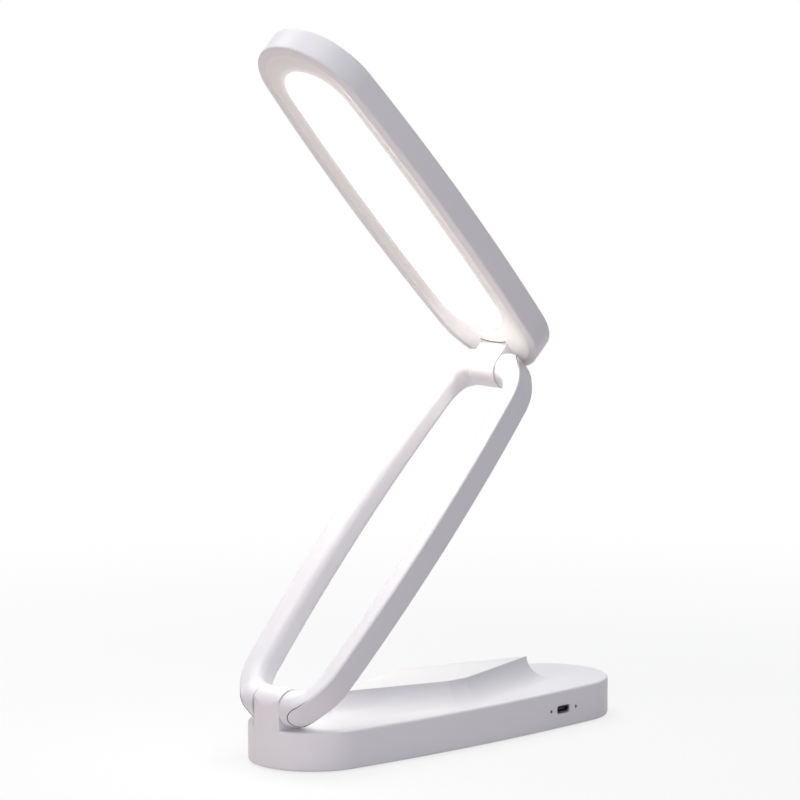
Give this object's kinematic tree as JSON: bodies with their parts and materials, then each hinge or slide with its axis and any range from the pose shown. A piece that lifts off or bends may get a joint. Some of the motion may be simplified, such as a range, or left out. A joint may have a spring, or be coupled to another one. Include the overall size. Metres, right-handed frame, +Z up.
{
  "type": "folding led desk lamp",
  "caption": "Rechargeable folding LED desk lamp: bowed stadium base with hexagonal island, open ring arm and flat head with a light window, joined by two friction hinges.",
  "frame": {"origin": "centre of the foot mat's underside, where the lamp stands", "axes": "+X along the base from the lower hinge towards the charging end, +Y to the rear long side away from the charging socket, +Z up"},
  "size_m": [0.182, 0.058, 0.2896],
  "materials": {
    "shell": "satin moulded",
    "mat": "matte",
    "steel": "brushed",
    "ballast": "raw",
    "cell_wrap": "glossy",
    "nickel": "plated",
    "board": "semi-gloss",
    "socket": "satin",
    "tongue": "matte",
    "lens": "glossy",
    "copper": "satin",
    "wire": "satin",
    "washer": "satin",
    "diffuser": "satin",
    "tray": "satin",
    "led_board": "satin",
    "led": "satin"
  },
  "bodies": {
    "base": {"base_shell": "shell", "base_cover": "shell", "base_mat": "mat", "base_screws": "steel", "ballast_plate": "ballast", "battery_cell": "cell_wrap", "battery_tabs": "nickel", "control_board": "board", "board_screws": "steel", "usb_socket": "socket", "usb_tongue": "tongue", "charge_lights": "lens", "touch_plate": "copper", "touch_spring": "steel", "base_lead": "wire"},
    "arm": {"lower_washers": "washer", "lower_pin": "steel", "front_leg_upper": "shell", "front_leg_lower": "shell", "rear_leg_upper": "shell", "rear_leg_lower": "shell", "arm_screws": "steel", "arm_lead": "wire", "upper_washers": "washer", "upper_pin": "steel"},
    "head": {"head_shell": "shell", "head_bezel": "shell", "head_screws": "steel", "diffuser": "diffuser", "reflector_tray": "tray", "led_board": "led_board", "led_chips": "led", "head_lead": "wire"}
  },
  "joints": [
    {"name": "lower_hinge", "type": "hinge", "parent": "base", "child": "arm", "pos_m": [-0.0837, 0, 0.0246], "axis": [0, 1, 0], "range_deg": [-43.8, 46.2]},
    {"name": "upper_hinge", "type": "hinge", "parent": "arm", "child": "head", "pos_m": [0.03396, 0, 0.1473], "axis": [0, 1, 0], "range_deg": [-93, 9]}
  ]
}
